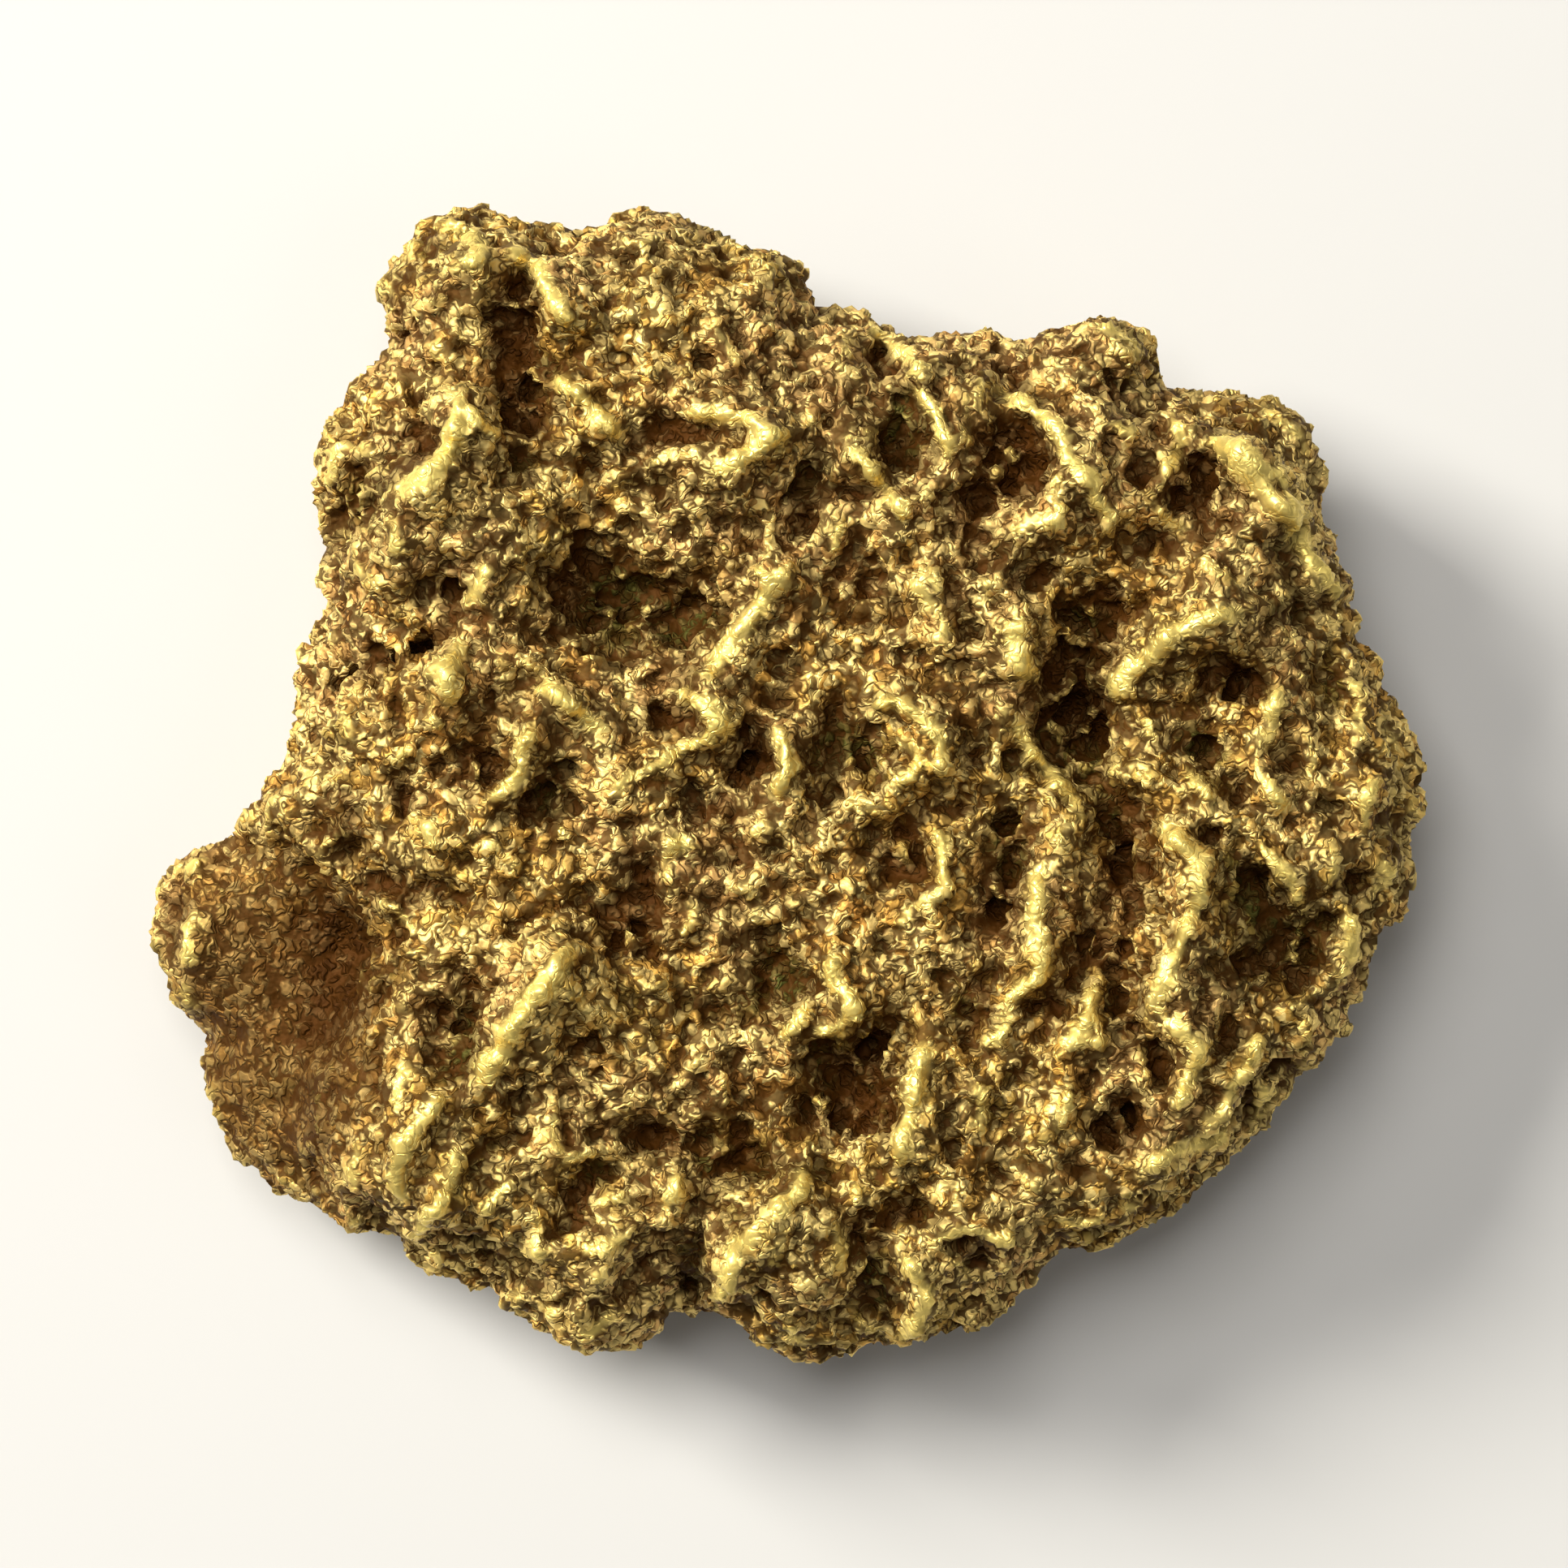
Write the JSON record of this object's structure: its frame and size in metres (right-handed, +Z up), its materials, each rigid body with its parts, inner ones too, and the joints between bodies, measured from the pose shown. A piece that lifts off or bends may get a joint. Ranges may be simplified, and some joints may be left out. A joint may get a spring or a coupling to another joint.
{
  "type": "gold nugget",
  "caption": "Natural gold nugget: a thick, lumpy slab of native gold with a ridged and pitted face, lying flat.",
  "frame": {"origin": "on the resting surface, under the middle of the nugget's bounding box", "axes": "+X along the longest way across the broad face, +Y across it, +Z up out of the broad, pitted face along the thickness"},
  "size_m": [0.03, 0.0272, 0.008],
  "materials": {
    "native_gold": "granular native gold: worn bright yellow crests, tan and ochre crystalline flats, dark brown to olive stain in the pits"
  },
  "bodies": {
    "root": {"nugget": "native_gold"}
  },
  "joints": []
}
